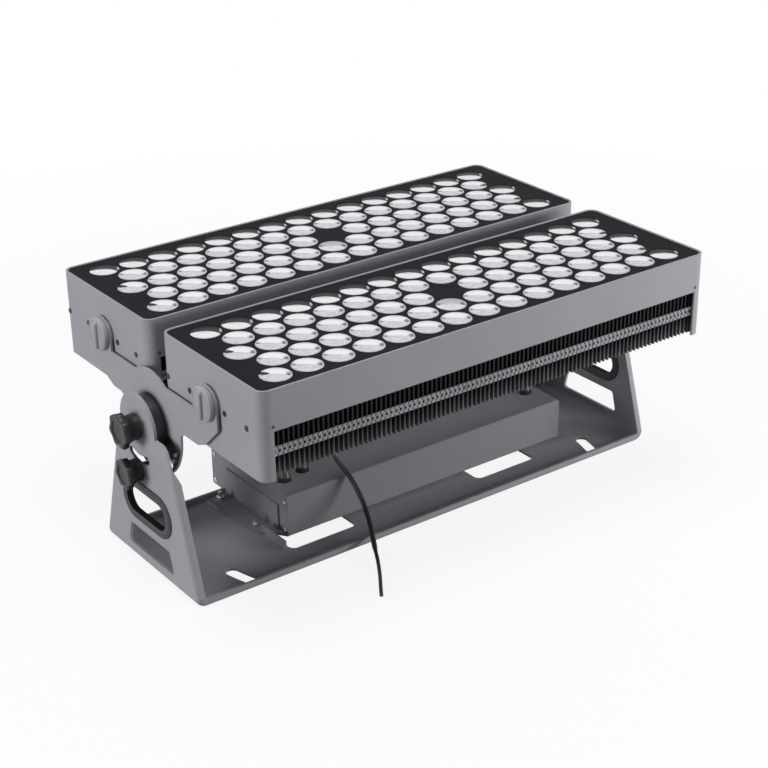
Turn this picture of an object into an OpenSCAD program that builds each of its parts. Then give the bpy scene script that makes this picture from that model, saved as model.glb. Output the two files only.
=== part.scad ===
// Twin-head LED floodlight on a tilting yoke.
// Sizes are in millimetres. +X runs along the heads, +Y away from the front head, +Z up.
// The origin is the centre of the yoke's underside.

/* [Lamp heads] */
// Length of each lamp head
head_len = 700; // [630:5:770]
// Width of each lamp head
head_w = 221; // [198:1:243]
// Clear gap between the two heads
head_gap = 35; // [34:1:60]
// Height of a head's rim above its pivot axis
head_rise = 52; // [50:1:56]
// Depth of a head below its pivot axis
head_drop = 63; // [58:1:64]
// Radius of a head's upright corners
head_corner_r = 14; // [8:1:20]
// Wall of a head's shell
shell_wall = 3; // [2:0.5:4]
// Height of the plain band above each side window
band_h = 52; // [48:1:56]
// Width of the plain post at each end of a side window
post_w = 17; // [14:1:24]

/* [Front mask and gasket] */
// Depth of the mask below the rim
mask_sink = 1; // [0.5:0.5:3]
// Thickness of the mask plate
mask_t = 2.5; // [1.5:0.5:4]
// Thickness of the gasket under the mask
gasket_t = 1; // [0.5:0.5:2]
// Width of the ledge that carries the gasket
ledge_w = 4; // [3:0.5:5]
// Thickness of that ledge
ledge_t = 2; // [1.5:0.5:3]

/* [Lenses and light sources] */
// Number of lenses in a long row
lens_count = 15; // [11:2:15]
// Distance of the outer lenses' middles from a head's ends
lens_end_margin = 43.75; // [43:0.25:46]
// Distance of the outer rows' middles from a head's long sides
lens_side_margin = 34.3; // [34:0.1:38]
// Gap between the faces of neighbouring lenses
lens_web = 4.25; // [4:0.25:7]
// Lip of a lens under the mask
lens_lip = 1.25; // [0.75:0.25:1.25]
// Thickness of that lip
lip_t = 2; // [1.5:0.5:3]
// Height from the circuit board to the mask
lens_h = 21; // [16:1:24]
// Diameter of a lens at the board
lens_foot_d = 17; // [14:1:20]
// Width of a light source
led_w = 7; // [5:0.5:8]
// Height of a light source
led_h = 2.5; // [1.5:0.5:3.5]
// Thickness of the circuit board
board_t = 1.6; // [1:0.2:3]
// Plain margin of the board round the outer lenses
board_margin = 5; // [2:1:8]

/* [Heatsink] */
// Thickness of the plate that carries the fins
spreader_t = 6; // [4:1:10]
// Spacing of the fins
fin_pitch = 6.89; // [6:0.01:10]
// Thickness of a fin
fin_t = 2.2; // [1:0.1:3]
// Distance of the fin edges behind the shell's long faces
fin_inset = 6; // [5:0.5:10]
// Distance of the fin ends above the shell's lower edge
fin_lift = 3; // [1:0.5:8]
// Height of the locking strip across the fin edges
strip_h = 12.5; // [10:0.5:20]
// Distance of the strip's middle below the head pivot axis
strip_drop = 28.5; // [20:0.5:40]
// Thickness of the strip
strip_t = 1.2; // [0.8:0.1:2]
// Length of one strip section
strip_len = 104; // [60:1:200]
// Gap between strip sections
strip_cut = 1; // [0.5:0.5:2]
// Width of the slots in the strip
strip_slot_w = 3.2; // [2:0.1:4]
// Height of the slots in the strip
strip_slot_h = 3.4; // [2:0.1:5]

/* [Head pivots] */
// Diameter of the pivot studs
stud_d = 12; // [8:1:16]
// Length of a stud held inside the head
stud_hold = 10; // [6:1:11]
// Diameter of the grey pivot knobs
pivot_knob_d = 44; // [42:1:52]
// Thickness of a pivot knob's round body
pivot_knob_t = 7; // [6:1:12]
// Height of the bar grip on a pivot knob
pivot_grip_h = 4; // [3:1:8]
// Width of the bar grip
pivot_grip_w = 10; // [8:1:14]
// Length of the bar grip
pivot_grip_len = 38; // [28:1:40]
// Diameter of the washers between heads and arms
head_washer_d = 40; // [24:1:50]
// Thickness of those washers
head_washer_t = 3; // [1.5:0.5:4]
// Diameter of the end screws
end_screw_d = 4; // [3:0.5:5]
// Diameter of the end screw heads
end_screw_head_d = 7.5; // [6:0.5:10]

/* [Arms] */
// Thickness of the arm plates
arm_t = 3; // [2.5:0.5:6]
// Radius of the ears round the head pivots
ear_r = 23; // [21:1:32]
// Distance of the bar's top edge below the head pivot axis
bar_top_drop = 18; // [14:1:22]
// Distance of the bar's lower edge below the head pivot axis
bar_low_drop = 65; // [64:1:74]
// Height of the head pivots above the tilt axis
head_lift = 77; // [76:1:84]
// Radius of the lobe round the tilt axis
lobe_r = 70; // [68:1:78]
// Radius of the blends between lobe and bar
lobe_fillet_r = 10; // [4:1:14]

/* [Tilt clamp] */
// Distance of the tilt axis behind the yoke's middle
tilt_y = 8; // [0:1:12]
// Height of the tilt axis above the floor
tilt_z = 206; // [204:1:216]
// Largest tilt towards the front, in degrees
tilt_front = 45; // [20:1:45]
// Largest tilt towards the rear, in degrees
tilt_rear = 35; // [20:1:35]
// Diameter of the tilt pivot bolts
pivot_bolt_d = 12; // [10:1:14]
// Diameter of the lock bolts
lock_bolt_d = 10; // [8:1:10]
// Distance of the lock bolt below the tilt axis
lock_bolt_r = 60; // [58:0.5:61]
// Diameter of the friction discs
disc_d = 72; // [50:1:84]
// Length of the friction discs between dial and leg
disc_len = 16; // [12:1:20]
// Diameter of the lock bolt's spacer sleeve
sleeve_d = 15; // [14:1:20]
// Thickness of the tilt dials
dial_t = 1.5; // [1:0.5:3]
// Radius of a dial's round middle
dial_hub_r = 38; // [36:1:48]
// Outer radius of a dial's sector
dial_r = 67.5; // [67:0.5:71.5]
// Angle that a dial's sector covers, in degrees
dial_span = 150; // [140:1:170]

/* [Clamp knobs] */
// Diameter of the tilt knobs' gripping rim
tilt_knob_d = 42; // [34:1:50]
// Length of a tilt knob
tilt_knob_len = 26; // [22:1:34]
// Diameter of the lock knobs' gripping rim
lock_knob_d = 35; // [30:1:42]
// Length of a lock knob
lock_knob_len = 24; // [20:1:32]
// Number of lobes on a knob
knob_lobes = 7; // [5:1:9]
// Thickness of the bright washers under the knobs
knob_washer_t = 2; // [1:0.5:3]

/* [Yoke] */
// Thickness of the yoke's sheet
sheet_t = 4; // [3:0.5:5]
// Outer radius of the bends between base and legs
bend_r = 14; // [12:1:18]
// Depth of the flanges along all long edges
flange_d = 11.5; // [9:0.5:13]
// Height at which the leg flanges begin to run out
flange_low_z = 155; // [140:1:158]
// Height at which the leg flanges end
flange_high_z = 173; // [165:1:180]
// Outer radius of the bends between web and flanges
edge_r = 6; // [4:0.5:7]
// Half depth of the base
base_half = 116; // [112:1:130]
// Half width of a leg at its shoulder
leg_top_half = 60; // [56:1:68]
// Height of the legs' shoulders
shoulder_z = 202; // [198:1:206]
// Radius of the shoulders' corners
shoulder_r = 16; // [5:1:18]
// Radius of the round top of a leg
dome_r = 43; // [38:1:45]

/* [Yoke openings] */
// Length of the hand opening with its trim
grip_len = 120; // [110:1:126]
// Height of the hand opening with its trim
grip_h = 59; // [50:1:62]
// Width of the trim's face
grip_rim = 12; // [9:0.5:14]
// Height of the hand opening's middle
grip_z = 96; // [94:1:98]
// Distance of the hand opening's middle in front of the yoke's middle
grip_y = 3; // [0:1:6]
// How far the trim's face reaches beyond the edge of the sheet
grip_lap = 6; // [4:0.5:8]
// Thickness of the trim's faces
grip_face_t = 3; // [2:0.5:4]
// Height of the low window's lower edge
window_z = 22; // [20:1:24]
// Height of the low window
window_h = 31.5; // [24:0.5:34]
// Half width of the low window at its lower edge
window_half_low = 57; // [50:1:60]
// Half width of the low window at its upper edge
window_half_top = 49; // [42:1:52]
// Radius of the low window's corners
window_r = 5; // [3:1:7]
// Middle radius of the curved sight window about the tilt axis
sight_r = 46; // [44:0.5:46]
// Width of the curved sight window
sight_w = 12; // [8:0.5:12]
// Half angle of the curved sight window, in degrees
sight_half_angle = 24; // [16:1:28]
// Radius of the curved fixing slots about the base's middle
slot_arc_r = 307; // [296:1:312]
// Angle of a fixing slot's middle off the X axis, in degrees
slot_angle = 16; // [14:0.5:16.5]
// Width of the fixing slots
slot_w = 18; // [12:0.5:19]
// Length of the fixing slots from end to end
slot_len = 50; // [34:1:52]
// Distance of the base windows' near end from the middle
base_window_x = 104; // [80:1:110]
// Length of the base windows
base_window_len = 104; // [80:1:108]
// Distance of the base windows' front edge from the middle
base_window_front = 70; // [60:1:80]
// Depth of the base windows
base_window_w = 60; // [40:1:70]
// Radius of the base windows' corners
base_window_r = 9; // [5:1:15]

/* [Driver box] */
// Left end of the driver box
box_left = -194; // [-200:1:-180]
// Length of the driver box
box_len = 472; // [440:1:490]
// Front face of the driver box
box_front = -41; // [-50:1:-30]
// Depth of the driver box
box_w = 191; // [170:1:195]
// Height of the driver box
box_h = 60; // [52:1:62]
// Wall of the driver box
box_wall = 2.5; // [2:0.5:4]
// Radius of the driver box's long edges
box_edge_r = 3; // [2:0.5:5]
// Length of the left end cover
cover_len = 44; // [36:1:60]
// Thickness of the right end plate
end_plate_t = 3; // [2:0.5:5]
// Thickness of the mounting brackets
bracket_t = 3; // [2:0.5:4]
// Width of the left bracket's foot
foot_w = 36; // [30:1:44]
// Height of the lip at the front of the left bracket
lip_h = 12; // [6:1:14]
// Height of the brackets' upright flange
bracket_h = 40; // [25:1:48]
// Diameter of the bracket studs
bracket_stud_d = 6; // [4:1:8]

/* [Glands and cable] */
// Diameter of the supply cable
cable_d = 7; // [6:0.5:9]
// Width across the flats of the glands
gland_af = 22; // [18:1:27]
// Height of the glands' hexagon
gland_hex_h = 6; // [4:1:8]
// Height of the glands' round cap
gland_cap_h = 8; // [6:1:8]

/* [Hidden] */

$fn = 64;
// A cut runs this far past the face that it opens
over = 1;
// Radial clearance of a shaft in its bore
fit = 0.05;
// Clearance between pieces that lie side by side
play = 0.3;
// Finish colours
paint = [0.58, 0.58, 0.62];
dark_paint = [0.40, 0.40, 0.43];
black = [0.09, 0.09, 0.10];
steel = [0.75, 0.75, 0.77];
fin_metal = [0.16, 0.16, 0.17];
clear_lens = [0.92, 0.94, 0.96];

// Heights inside a head, counted from the head pivot axis
mask_top = head_rise - mask_sink;
mask_low = mask_top - mask_t;
ledge_top = mask_low - gasket_t;
board_top = mask_low - lens_h;
spreader_top = board_top - board_t;
spreader_low = spreader_top - spreader_t;
fin_end = fin_lift - head_drop;
window_top = head_rise - band_h;

// Plan sizes inside a head
pocket_len = head_len - 2 * shell_wall;
pocket_w = head_w - 2 * shell_wall;
opening_len = pocket_len - 2 * ledge_w;
opening_w = pocket_w - 2 * ledge_w;
window_len = head_len - 2 * post_w;
lens_pitch = (head_len - 2 * lens_end_margin) / (lens_count - 1);
row_pitch = (head_w - 2 * lens_side_margin) / 4;
lens_d = min(lens_pitch, norm([lens_pitch / 2, row_pitch])) - lens_web;
field_len = (lens_count - 1) * lens_pitch + lens_d + 2 * lens_lip;
field_w = 4 * row_pitch + lens_d + 2 * lens_lip;
board_len = min(field_len + 2 * board_margin, opening_len - 2 * play);
board_w = min(field_w + 2 * board_margin, opening_w - 2 * play);
fin_half = head_w / 2 - fin_inset;
fin_count = floor((window_len - fin_t) / fin_pitch) + 1;

// Lens centres of the field: long and short rows take turns, and the middle place stays empty
lens_places = [
  for (row = [-2:2])
    let (count = row % 2 == 0 ? lens_count : lens_count - 1)
      for (i = [0:count - 1])
        if (row != 0 || i != (count - 1) / 2)
          [(i - (count - 1) / 2) * lens_pitch, row * row_pitch]
];

// Heads and arms
head_pitch = head_w + head_gap;
head_z = tilt_z + head_lift;
arm_in = head_len / 2 + head_washer_t;
arm_out = arm_in + arm_t;
dial_out = arm_out + dial_t;
leg_in = dial_out + disc_len;
leg_out = leg_in + sheet_t;
bolt_head_t = 6;
knob_rim_t = 10;
tilt_bolt_reach = tilt_knob_len - knob_rim_t - 4;
lock_bolt_reach = lock_knob_len - knob_rim_t - 4;
lock_z = tilt_z - lock_bolt_r;
stud_reach = pivot_knob_t - 1.5;
end_screw_places = [for (share = [-0.72, -0.29, 0.42, 0.88]) share * head_w / 2];
end_screw_head_t = 0.7;
end_screw_z = -3;
end_screw_len = 12;
bar_flat_inset = 24;
bar_flat = head_pitch / 2 - bar_flat_inset;
bar_shoulder_inset = 8;
bar_shoulder = head_pitch / 2 - bar_shoulder_inset;
bar_shoulder_rise = 7;
ear_flat_drop = 29;
lock_slot_r = lock_bolt_d / 2 + 0.5;
dial_screw_r = 61.5;
dial_screw_d = 3;
dial_screw_head_r = 0.9 * dial_screw_d;
// Clear space between a dial screw's head and the spacer sleeve at the front limit of the tilt
dial_screw_gap = 0.3;
dial_screw_turn = 2 * asin((sleeve_d / 2 + dial_screw_head_r + dial_screw_gap) / (2 * lock_bolt_r));
dial_screw_step = 12;
washer_lap = 6.5;
// Direction of straight down, in degrees
down = 270;
dial_screw_first = down - tilt_front - dial_screw_turn;
dial_screw_angles = [dial_screw_first - dial_screw_step, dial_screw_first];
// How much the ends of a curved slot are narrower than the slot
slot_end_ease = 0.1;

// Base pieces
box_right = box_left + box_len;
box_rear = box_front + box_w;
case_left = box_left + cover_len;
case_right = box_right - end_plate_t;
foot_rear_inset = 7;
foot_rear = base_half - foot_rear_inset;
foot_stud_x = foot_w / 2 + 3;
foot_stud_inset = 12;
foot_studs = [7, foot_rear - foot_stud_inset];
bracket_front = -20;
foot_side_front = -2;
foot_corner = [8, -14];
foot_nose = [-14, bracket_front];
foot_tip = -40;
lip_front = -65;
lip_back = -8;
lip_x = box_left - 22;
flange_notch_gap = 3;
right_foot_w = 24;
right_foot_front = -6;
stud_rise = 18;
gland_hole_r = 6;
module_gap = 12;
module_w = 75;
module_h = 42;
small_gland_scale = 0.8;
end_gland_inset = 23;
head_gland_places = [
  [box_left + end_gland_inset, 0], [case_left + 13, 9], [box_right - end_gland_inset, 8]
];
// Control board inside the box, and the posts that it stands on
control_board_size = [150, 60, 1.6];
control_post_h = 8;
control_post_r = 3;
control_post_inset = 6;

// Supply cable, from the gland over the box's front edge to the floor
cable_route = [
  [-108, 33, 78], [-108, 33, 90], [-108, 29, 104], [-108, 19, 114], [-108, 5, 118], [-108, -9, 114],
  [-107, -19, 104], [-106, -28, 88], [-101, -39, 74], [-98, -52, 62], [-97, -65, 49], [-98, -78, 37],
  [-104, -96, 26], [-114, -117, 18.5], [-124, -137, 10], [-134, -157, 4.5], [-146, -177, 3.5],
  [-159, -197, 3.5], [-170, -213, 3.5], [-180, -228, 3.5]
];
supply_gland_place = [-108, 33];
cable_sides = 10;

// Helpers

// Draws its children's YZ outline as a plate that runs from x for a length of t
module plate_x(x, t) {
  translate([x, 0, 0]) rotate([90, 0, 90]) linear_extrude(t) children();
}

// Draws its children's XZ outline as a bar that runs from y for a length of t
module bar_y(y, t) {
  translate([0, y + t, 0]) rotate([90, 0, 0]) linear_extrude(t) children();
}

// A round shaft along X from x, centred at [y, z]
module shaft_x(x, t, r, y = 0, z = 0) {
  translate([x, y, z]) rotate([0, 90, 0]) cylinder(h = t, r = r);
}

// Turns what is drawn for the right side into the left one
module on_side(side) {
  if (side < 0) mirror([1, 0, 0]) children();
  else children();
}

module both_x() {
  children();
  mirror([1, 0, 0]) children();
}

module both_y() {
  children();
  mirror([0, 1, 0]) children();
}

// Moves a piece from the head pivot axis to the front or the rear head
module at_head(side) {
  translate([0, side * head_pitch / 2, head_z]) children();
}

module rounded_rect(len, wid, r) {
  square([len - 2 * r, wid], center = true);
  square([len, wid - 2 * r], center = true);
  for (sx = [-1, 1], sy = [-1, 1])
    translate([sx * (len / 2 - r), sy * (wid / 2 - r)]) circle(r);
}

module obround(len, wid) {
  square([len - wid, wid], center = true);
  for (s = [-1, 1]) translate([s * (len - wid) / 2, 0]) circle(wid / 2);
}

// Convex outline with a radius r at every corner
function unit(v) = v / norm(v);
function corner_half_angle(a, p, b) = acos(unit(a - p) * unit(b - p)) / 2;
module rounded_outline(points, r) {
  n = len(points);
  runs = [
    for (i = [0:n - 1])
      let (p = points[i], a = points[(i + n - 1) % n], b = points[(i + 1) % n])
        let (back = r / tan(corner_half_angle(a, p, b)))
          each [p + unit(a - p) * back, p + unit(b - p) * back]
  ];
  polygon(runs);
  for (i = [0:n - 1]) {
    p = points[i];
    a = points[(i + n - 1) % n];
    b = points[(i + 1) % n];
    translate(p + unit(unit(a - p) + unit(b - p)) * r / sin(corner_half_angle(a, p, b))) circle(r);
  }
}

// Wedge about the origin between two angles less than 180 degrees apart
module wedge(from, to, reach) {
  mid = (from + to) / 2;
  far = reach / cos((to - from) / 4);
  polygon([
    [0, 0],
    reach * [cos(from), sin(from)],
    far * [cos((from + mid) / 2), sin((from + mid) / 2)],
    reach * [cos(mid), sin(mid)],
    far * [cos((mid + to) / 2), sin((mid + to) / 2)],
    reach * [cos(to), sin(to)]
  ]);
}

// Slot that follows a circle of radius r about the origin, with round ends at two angles.
// The ends are a hair narrower than the slot, so that their arcs cross its end lines.
module curved_slot(r, wid, from, to) {
  intersection() {
    difference() {
      circle(r + wid / 2);
      circle(r - wid / 2);
    }
    wedge(from, to, 2 * r);
  }
  for (a = [from, to]) translate(r * [cos(a), sin(a)]) circle(wid / 2 - slot_end_ease);
}

// Yoke

leg_lean = (base_half - leg_top_half) / (shoulder_z - bend_r);
leg_angle = atan(leg_lean);
slot_half = (slot_len - slot_w) / 2 / slot_arc_r * 180 / PI;

// Channel outline across the yoke: base and legs, as deep as depth
module channel_outline(depth) {
  inner_r = max(bend_r - depth, 2);
  top = tilt_z + dome_r + over;
  difference() {
    union() {
      translate([-leg_out, bend_r]) square([2 * leg_out, top - bend_r]);
      translate([-leg_out + bend_r, 0]) square([2 * (leg_out - bend_r), 2 * bend_r]);
      for (s = [-1, 1]) translate([s * (leg_out - bend_r), bend_r]) circle(bend_r);
    }
    translate([-leg_out + depth, depth + inner_r]) square([2 * (leg_out - depth), top]);
    translate([-leg_out + depth + inner_r, depth]) square([2 * (leg_out - depth - inner_r), top]);
    for (s = [-1, 1]) translate([s * (leg_out - depth - inner_r), depth + inner_r]) circle(inner_r);
  }
}

// Side outline of the sheet without its round tops, drawn in by a wall
module side_outline(wall) {
  low = base_half - wall;
  high = leg_top_half - wall / cos(leg_angle);
  polygon([
    [-low, -over], [low, -over], [low, bend_r],
    [high, shoulder_z], [-high, shoulder_z], [-low, bend_r]
  ]);
}

// Sharp corner that is cut away outside a round edge of radius r at the origin
module outer_corner(r) {
  difference() {
    translate([-r, -r]) square(r + over);
    translate([-r, -r]) circle(r);
  }
}

// What is cut off to round a leg's shoulders
module shoulder_corners() {
  run = shoulder_r * tan((90 - leg_angle) / 2);
  corner = [leg_top_half, shoulder_z];
  middle = corner - [run, shoulder_r];
  outwards = [cos(leg_angle), sin(leg_angle)];
  for (flip = [0, 1])
    mirror([flip, 0])
      difference() {
        polygon([
          middle, middle + [0, shoulder_r + over], corner + [over, over],
          middle + (shoulder_r + over) * outwards
        ]);
        translate(middle) circle(shoulder_r);
      }
}

module sheet_sides() {
  difference() {
    side_outline(0);
    shoulder_corners();
  }
}

// What is cut off to round the bends between web and flanges
module soft_edges() {
  both_y()
    plate_x(bend_r - leg_out, 2 * (leg_out - bend_r))
      translate([base_half, 0]) mirror([0, 1]) outer_corner(edge_r);
  both_x() both_y() {
    translate([leg_out - bend_r, 0, bend_r])
      rotate([-90, 0, 0])
        rotate_extrude(angle = 90) translate([bend_r, base_half]) outer_corner(edge_r);
    translate([leg_out, base_half, bend_r])
      rotate([leg_angle, 0, 0]) linear_extrude(shoulder_z) outer_corner(edge_r);
  }
}

module leg_openings() {
  translate([-grip_y, grip_z]) obround(grip_len - 2 * grip_lap, grip_h - 2 * grip_lap);
  translate([-grip_y, window_z])
    rounded_outline([
      [-window_half_low, 0], [window_half_low, 0],
      [window_half_top, window_h], [-window_half_top, window_h]
    ], window_r);
  translate([tilt_y, tilt_z]) {
    curved_slot(sight_r, sight_w, down - sight_half_angle, down + sight_half_angle);
    circle(pivot_bolt_d / 2 + fit);
    translate([0, -lock_bolt_r]) circle(lock_bolt_d / 2 + fit);
  }
}

module base_openings() {
  both_x() both_y() curved_slot(slot_arc_r, slot_w, slot_angle - slot_half, slot_angle + slot_half);
  both_x()
    translate([base_window_x + base_window_len / 2, base_window_w / 2 - base_window_front])
      rounded_rect(base_window_len, base_window_w, base_window_r);
  for (place = foot_studs) {
    translate([box_left - foot_stud_x, place]) circle(bracket_stud_d / 2 + fit);
    translate([box_right + right_foot_w / 2, place]) circle(bracket_stud_d / 2 + fit);
  }
}

// What is cut off the flanges towards the top of a leg
module flange_run_out() {
  inner = leg_out - flange_d;
  polygon([
    [inner - over, flange_low_z], [inner, flange_low_z], [leg_out - sheet_t, flange_high_z],
    [leg_out - sheet_t, shoulder_z + over], [inner - over, shoulder_z + over]
  ]);
}

module yoke() {
  color(paint)
    difference() {
      union() {
        intersection() {
          bar_y(-base_half, 2 * base_half) channel_outline(sheet_t);
          plate_x(-leg_out, 2 * leg_out)
            union() {
              sheet_sides();
              translate([tilt_y, tilt_z]) circle(dome_r);
            }
        }
        difference() {
          intersection() {
            bar_y(-base_half, 2 * base_half) channel_outline(flange_d);
            plate_x(-leg_out, 2 * leg_out)
              difference() {
                sheet_sides();
                side_outline(sheet_t);
              }
          }
          both_x() bar_y(-base_half - over, 2 * (base_half + over)) flange_run_out();
        }
      }
      soft_edges();
      // the driver box passes through the rear flange
      translate([box_left - flange_notch_gap, base_half - sheet_t - over, sheet_t])
        cube([box_len + 2 * flange_notch_gap, sheet_t + 2 * over, flange_d]);
      plate_x(-leg_out - over, 2 * (leg_out + over)) leg_openings();
      translate([0, 0, -over]) linear_extrude(sheet_t + 2 * over) base_openings();
    }
}

// Rubber trim round a hand opening: two faces joined through the sheet
module handle_trim(side) {
  color(black)
    on_side(side)
      translate([0, -grip_y, grip_z]) {
        plate_x(leg_out, grip_face_t) trim_ring(grip_len, grip_h);
        plate_x(leg_in, sheet_t)
          trim_ring(grip_len - 2 * grip_lap - 2 * fit, grip_h - 2 * grip_lap - 2 * fit);
        plate_x(leg_in - grip_face_t, grip_face_t) trim_ring(grip_len, grip_h);
      }
}

module trim_ring(len, high) {
  difference() {
    obround(len, high);
    obround(grip_len - 2 * grip_rim, grip_h - 2 * grip_rim);
  }
}

// Driver box

module box_outline(inset) {
  translate([box_front + box_w / 2, sheet_t + box_h / 2])
    rounded_rect(box_w - 2 * inset, box_h - 2 * inset, max(box_edge_r - inset, 0.5));
}

module driver_case() {
  color(dark_paint)
    difference() {
      plate_x(case_left, case_right - case_left)
        difference() {
          box_outline(0);
          box_outline(box_wall);
        }
      for (place = concat([supply_gland_place], head_gland_places))
        translate([place[0], place[1], sheet_t + box_h - box_wall - over])
          cylinder(h = box_wall + 2 * over, r = gland_hole_r);
    }
}

module driver_end_cover() {
  color(dark_paint)
    difference() {
      union() {
        plate_x(box_left, box_wall) box_outline(0);
        plate_x(box_left + box_wall, cover_len - box_wall)
          difference() {
            box_outline(0);
            box_outline(box_wall);
          }
      }
      translate([head_gland_places[0][0], head_gland_places[0][1], sheet_t + box_h - box_wall - over])
        cylinder(h = box_wall + 2 * over, r = gland_hole_r);
    }
}

module driver_end_plate() {
  color(dark_paint) plate_x(case_right, end_plate_t) box_outline(0);
}

// Angle bracket: a foot on the yoke and an upright flange against the box
module driver_bracket_left() {
  color(dark_paint)
    difference() {
      union() {
        translate([box_left, 0, sheet_t])
          linear_extrude(bracket_t)
            polygon([
              [0, foot_rear], [-foot_w, foot_rear], [-foot_w, foot_side_front],
              [foot_corner[0] - foot_w, foot_corner[1]], foot_nose, [0, foot_tip]
            ]);
        translate([box_left - bracket_t, bracket_front, sheet_t])
          cube([bracket_t, foot_rear - bracket_front, bracket_h]);
        translate([lip_x, lip_front, sheet_t]) cube([bracket_t, lip_back - lip_front, lip_h]);
      }
      for (place = foot_studs) stud_hole(box_left - foot_stud_x, place);
    }
}

module driver_bracket_right() {
  color(dark_paint)
    difference() {
      union() {
        translate([box_right, 0, sheet_t])
          linear_extrude(bracket_t)
            polygon([
              [0, foot_rear], [right_foot_w, foot_rear],
              [right_foot_w, right_foot_front], [0, right_foot_front]
            ]);
        translate([box_right, right_foot_front, sheet_t])
          cube([bracket_t, foot_rear - right_foot_front, bracket_h]);
      }
      for (place = foot_studs) stud_hole(box_right + right_foot_w / 2, place);
    }
}

module stud_hole(x, y) {
  translate([x, y, -over]) cylinder(h = sheet_t + bracket_t + 2 * over, r = bracket_stud_d / 2 + fit);
}

// Studs that stand in the yoke, each with its nut on the bracket
module bracket_studs() {
  nut_af = 1.65 * bracket_stud_d;
  color(steel)
    for (x = [box_left - foot_stud_x, box_right + right_foot_w / 2], y = foot_studs)
      translate([x, y, 0]) {
        translate([0, 0, sheet_t / 4]) cylinder(h = stud_rise, r = bracket_stud_d / 2);
        translate([0, 0, sheet_t + bracket_t])
          cylinder(h = 0.8 * bracket_stud_d, r = nut_af / 2 / cos(30), $fn = 6);
      }
}

module driver_modules() {
  module_len = (case_right - case_left - 5 * module_gap) / 2;
  color(steel)
    for (i = [0, 1])
      translate([
        case_left + 2 * module_gap + i * (module_len + module_gap),
        box_rear - box_wall - module_gap - module_w,
        sheet_t + box_wall
      ])
        cube([module_len, module_w, module_h]);
}

// Control board on four posts
module control_board() {
  corner = [
    case_right - 1.5 * control_board_size[0],
    box_front + box_wall + control_post_h,
    sheet_t + box_wall
  ];
  color("darkgreen") {
    translate(corner + [0, 0, control_post_h]) cube(control_board_size);
    for (
      x = [control_post_inset, control_board_size[0] - control_post_inset],
      y = [control_post_inset, control_board_size[1] - control_post_inset]
    )
      translate(corner + [x, y, 0]) cylinder(h = control_post_h, r = control_post_r);
  }
}

// Row of wire terminals on the cover's floor
module terminal_block() {
  poles = 6;
  pole_w = 10;
  wide = 20;
  high = 20;
  hole_floor = 8;
  hole_r = 3;
  from_end = 12;
  from_front = 71;
  color(black)
    translate([box_left + from_end, box_front + from_front, sheet_t + box_wall])
      difference() {
        cube([wide, poles * pole_w, high]);
        for (i = [0:poles - 1])
          translate([wide / 2, (i + 0.5) * pole_w, hole_floor]) cylinder(h = high, r = hole_r);
      }
}

// Glands and cable

// Gland in a hole of the box: hexagon, round cap and a stem that reaches inside
module gland(scale_by) {
  hex_r = scale_by * gland_af / 2 / cos(30);
  cap_low = 0.45 * gland_af * scale_by;
  cap_high = 0.3 * gland_af * scale_by;
  cylinder(h = gland_hex_h, r = hex_r, $fn = 6);
  translate([0, 0, gland_hex_h]) cylinder(h = gland_cap_h, r1 = cap_low, r2 = cap_high);
  translate([0, 0, -box_wall - 4]) cylinder(h = box_wall + 4, r = gland_hole_r - fit);
}

module cable_glands() {
  color(black)
    for (place = head_gland_places)
      translate([place[0], place[1], sheet_t + box_h]) gland(small_gland_scale);
}

module supply_gland() {
  color(black)
    translate([supply_gland_place[0], supply_gland_place[1], sheet_t + box_h]) gland(1);
}

// Smooth points through the route, halfway points included
function route_point(i) = cable_route[max(0, min(len(cable_route) - 1, i))];
function halfway(i) =
  (9 * (route_point(i) + route_point(i + 1)) - route_point(i - 1) - route_point(i + 2)) / 16;
cable_line = concat(
  [for (i = [0:len(cable_route) - 2]) each [route_point(i), halfway(i)]],
  [route_point(len(cable_route) - 1)]
);
function cable_heading(i) =
  i == 0 ? [0, 0, 1]
  : unit(cable_line[min(i + 1, len(cable_line) - 1)] - cable_line[i - 1]);
function cable_ring(i) =
  let (ahead = cable_heading(i))
    let (side = unit(cross(ahead, [-0.93, 0.37, 0])))
      let (up = cross(side, ahead))
        [for (k = [0:cable_sides - 1])
          let (turn = k * 360 / cable_sides)
            cable_line[i] + cable_d / 2 * (cos(turn) * side + sin(turn) * up)];

module supply_cable() {
  rings = len(cable_line);
  n = cable_sides;
  color(black)
    polyhedron(
      points = [for (i = [0:rings - 1]) each cable_ring(i)],
      faces = concat(
        [[for (k = [0:n - 1]) k]],
        [for (i = [0:rings - 2], k = [0:n - 1])
          each [
            [i * n + k, (i + 1) * n + k, i * n + (k + 1) % n],
            [i * n + (k + 1) % n, (i + 1) * n + k, (i + 1) * n + (k + 1) % n]
          ]],
        [[for (k = [0:n - 1]) (rings - 1) * n + n - 1 - k]]
      )
    );
}

// Tilt clamp

module friction_disc(side) {
  color(black)
    on_side(side)
      translate([dial_out, tilt_y, tilt_z])
        rotate([0, 90, 0])
          difference() {
            cylinder(h = disc_len, r = disc_d / 2);
            translate([0, 0, -over]) cylinder(h = disc_len + 2 * over, r = pivot_bolt_d / 2 + fit);
          }
}

module lock_sleeves() {
  color(steel)
    both_x()
      difference() {
        shaft_x(dial_out + play, disc_len - play, sleeve_d / 2, tilt_y, lock_z);
        shaft_x(dial_out, disc_len + over, lock_bolt_d / 2 + fit, tilt_y, lock_z);
      }
}

// Hexagon head inside the arm and a shank out to the knob
module clamp_bolt(d, z, reach) {
  both_x() {
    translate([arm_in - play - bolt_head_t, tilt_y, z])
      rotate([0, 90, 0]) cylinder(h = bolt_head_t, r = 0.9 * d, $fn = 6);
    shaft_x(arm_in - play - bolt_head_t, bolt_head_t + reach - arm_in + play, d / 2, tilt_y, z);
  }
}

module pivot_bolts() {
  color(steel) clamp_bolt(pivot_bolt_d, tilt_z, leg_out + knob_washer_t + tilt_bolt_reach);
}

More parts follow.
